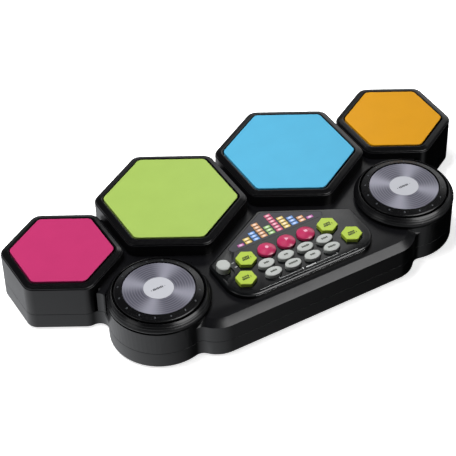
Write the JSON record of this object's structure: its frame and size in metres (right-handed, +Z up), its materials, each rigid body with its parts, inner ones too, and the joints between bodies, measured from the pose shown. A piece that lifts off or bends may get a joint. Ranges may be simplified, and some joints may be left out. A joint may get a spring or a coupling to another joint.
{
  "type": "dance rhythm machine",
  "caption": "Tabletop rhythm machine with hexagonal hit pads, spinning record platters and a raised control panel with buttons and a light display.",
  "frame": {"origin": "middle of the plan's bounding box, on the plane that the rubber feet stand on", "axes": "+X to the player's right, +Y away from the player, +Z up"},
  "size_m": [0.4386, 0.215, 0.0537],
  "materials": {
    "case": "satin",
    "panel": "satin",
    "smoked_window": "gloss, smoked",
    "light_guide": "clear",
    "board": "solder mask",
    "keypad": "matte",
    "foot_rubber": "matte",
    "button_grey": "satin",
    "switch_body": "matte",
    "screw_steel": "zinc plated",
    "speaker_steel": "satin",
    "speaker_paper": "matte",
    "battery_jacket": "satin",
    "contact_brass": "bright",
    "pad_pink": "satin",
    "pad_green": "satin",
    "pad_blue": "satin",
    "pad_orange": "satin",
    "gloss_black": "gloss",
    "foam": "open foam",
    "record_silver": "satin, grooved",
    "label_grey": "satin",
    "button_pink": "gloss",
    "button_lime": "satin"
  },
  "bodies": {
    "root": {"batteries": "battery_jacket", "battery_contacts": "contact_brass", "board_screws": "screw_steel", "case_screws": "screw_steel", "control_panel": "panel", "display_window": "smoked_window", "encoder_sensors": "switch_body", "light_guides": "light_guide", "lower_case": "case", "main_board": "board", "pad_return_ring_inner_left": "foam", "pad_return_ring_inner_right": "foam", "pad_return_ring_outer_left": "foam", "pad_return_ring_outer_right": "foam", "pad_rim_inner_left": "gloss_black", "pad_rim_inner_right": "gloss_black", "pad_rim_outer_left": "gloss_black", "pad_rim_outer_right": "gloss_black", "pad_sensors": "board", "platter_bushing_left": "switch_body", "platter_bushing_right": "switch_body", "rubber_feet": "foot_rubber", "rubber_keypad": "keypad", "slide_switch": "switch_body", "speaker_cone": "speaker_paper", "speaker_frame": "speaker_steel", "turntable_bezel_left": "gloss_black", "turntable_bezel_right": "gloss_black", "upper_case": "case"},
    "pad_outer_left": {"pad_outer_left": "pad_pink"},
    "pad_inner_left": {"pad_inner_left": "pad_green"},
    "pad_inner_right": {"pad_inner_right": "pad_blue"},
    "pad_outer_right": {"pad_outer_right": "pad_orange"},
    "platter_left": {"platter_left": "gloss_black", "record_disc_left": "record_silver", "record_label_left": "label_grey", "encoder_wheel_left": "switch_body"},
    "platter_right": {"platter_right": "gloss_black", "record_disc_right": "record_silver", "record_label_right": "label_grey", "encoder_wheel_right": "switch_body"},
    "dome_button_left": {"dome_button_left": "button_pink"},
    "dome_button_middle": {"dome_button_middle": "button_pink"},
    "dome_button_right": {"dome_button_right": "button_pink"},
    "hex_button_back_left": {"hex_button_back_left": "button_lime"},
    "hex_button_back_right": {"hex_button_back_right": "button_lime"},
    "hex_button_front_left": {"hex_button_front_left": "button_lime"},
    "hex_button_front_right": {"hex_button_front_right": "button_lime"},
    "oval_button_back_1": {"oval_button_back_1": "button_grey"},
    "oval_button_back_2": {"oval_button_back_2": "button_grey"},
    "oval_button_back_3": {"oval_button_back_3": "button_grey"},
    "oval_button_back_4": {"oval_button_back_4": "button_grey"},
    "oval_button_front_1": {"oval_button_front_1": "button_grey"},
    "oval_button_front_2": {"oval_button_front_2": "button_grey"},
    "oval_button_front_3": {"oval_button_front_3": "button_grey"},
    "oval_button_front_4": {"oval_button_front_4": "button_grey"},
    "slide_knob": {"slide_knob": "button_grey"},
    "battery_door": {"battery_door": "case"}
  },
  "joints": [
    {"name": "pad_outer_left_press", "type": "slide", "parent": "root", "child": "pad_outer_left", "axis": [0, 0, -1], "range_m": [0, 0.002], "stiffness_N_per_m": 1500, "springref_m": -0.002, "deforming": ["pad_return_ring_outer_left"]},
    {"name": "pad_inner_left_press", "type": "slide", "parent": "root", "child": "pad_inner_left", "axis": [0, 0, -1], "range_m": [0, 0.002], "stiffness_N_per_m": 1500, "springref_m": -0.002, "deforming": ["pad_return_ring_inner_left"]},
    {"name": "pad_inner_right_press", "type": "slide", "parent": "root", "child": "pad_inner_right", "axis": [0, 0, -1], "range_m": [0, 0.002], "stiffness_N_per_m": 1500, "springref_m": -0.002, "deforming": ["pad_return_ring_inner_right"]},
    {"name": "pad_outer_right_press", "type": "slide", "parent": "root", "child": "pad_outer_right", "axis": [0, 0, -1], "range_m": [0, 0.002], "stiffness_N_per_m": 1500, "springref_m": -0.002, "deforming": ["pad_return_ring_outer_right"]},
    {"name": "platter_left_spin", "type": "hinge", "parent": "root", "child": "platter_left", "pos_m": [-0.1244, -0.0526, 0.04], "axis": [0, 0, 1], "continuous": true},
    {"name": "platter_right_spin", "type": "hinge", "parent": "root", "child": "platter_right", "pos_m": [0.1244, -0.0526, 0.04], "axis": [0, 0, 1], "continuous": true},
    {"name": "dome_button_left_press", "type": "slide", "parent": "root", "child": "dome_button_left", "axis": [0, 0, -1], "range_m": [0, 0.0013], "stiffness_N_per_m": 600, "springref_m": -0.0015},
    {"name": "dome_button_middle_press", "type": "slide", "parent": "root", "child": "dome_button_middle", "axis": [0, 0, -1], "range_m": [0, 0.0013], "stiffness_N_per_m": 600, "springref_m": -0.0015},
    {"name": "dome_button_right_press", "type": "slide", "parent": "root", "child": "dome_button_right", "axis": [0, 0, -1], "range_m": [0, 0.0013], "stiffness_N_per_m": 600, "springref_m": -0.0015},
    {"name": "hex_button_back_left_press", "type": "slide", "parent": "root", "child": "hex_button_back_left", "axis": [0, 0, -1], "range_m": [0, 0.0013], "stiffness_N_per_m": 600, "springref_m": -0.0015},
    {"name": "hex_button_back_right_press", "type": "slide", "parent": "root", "child": "hex_button_back_right", "axis": [0, 0, -1], "range_m": [0, 0.0013], "stiffness_N_per_m": 600, "springref_m": -0.0015},
    {"name": "hex_button_front_left_press", "type": "slide", "parent": "root", "child": "hex_button_front_left", "axis": [0, 0, -1], "range_m": [0, 0.0013], "stiffness_N_per_m": 600, "springref_m": -0.0015},
    {"name": "hex_button_front_right_press", "type": "slide", "parent": "root", "child": "hex_button_front_right", "axis": [0, 0, -1], "range_m": [0, 0.0013], "stiffness_N_per_m": 600, "springref_m": -0.0015},
    {"name": "oval_button_back_1_press", "type": "slide", "parent": "root", "child": "oval_button_back_1", "axis": [0, 0, -1], "range_m": [0, 0.0013], "stiffness_N_per_m": 600, "springref_m": -0.0015},
    {"name": "oval_button_back_2_press", "type": "slide", "parent": "root", "child": "oval_button_back_2", "axis": [0, 0, -1], "range_m": [0, 0.0013], "stiffness_N_per_m": 600, "springref_m": -0.0015},
    {"name": "oval_button_back_3_press", "type": "slide", "parent": "root", "child": "oval_button_back_3", "axis": [0, 0, -1], "range_m": [0, 0.0013], "stiffness_N_per_m": 600, "springref_m": -0.0015},
    {"name": "oval_button_back_4_press", "type": "slide", "parent": "root", "child": "oval_button_back_4", "axis": [0, 0, -1], "range_m": [0, 0.0013], "stiffness_N_per_m": 600, "springref_m": -0.0015},
    {"name": "oval_button_front_1_press", "type": "slide", "parent": "root", "child": "oval_button_front_1", "axis": [0, 0, -1], "range_m": [0, 0.0013], "stiffness_N_per_m": 600, "springref_m": -0.0015},
    {"name": "oval_button_front_2_press", "type": "slide", "parent": "root", "child": "oval_button_front_2", "axis": [0, 0, -1], "range_m": [0, 0.0013], "stiffness_N_per_m": 600, "springref_m": -0.0015},
    {"name": "oval_button_front_3_press", "type": "slide", "parent": "root", "child": "oval_button_front_3", "axis": [0, 0, -1], "range_m": [0, 0.0013], "stiffness_N_per_m": 600, "springref_m": -0.0015},
    {"name": "oval_button_front_4_press", "type": "slide", "parent": "root", "child": "oval_button_front_4", "axis": [0, 0, -1], "range_m": [0, 0.0013], "stiffness_N_per_m": 600, "springref_m": -0.0015},
    {"name": "slide_knob_slide", "type": "slide", "parent": "root", "child": "slide_knob", "axis": [0, -1, 0], "range_m": [0, 0.005]},
    {"name": "battery_door_tilt", "type": "hinge", "parent": "root", "child": "battery_door", "pos_m": [0, -0.0143, 0.0037], "axis": [1, 0, 0], "range_deg": [0, 30]}
  ]
}
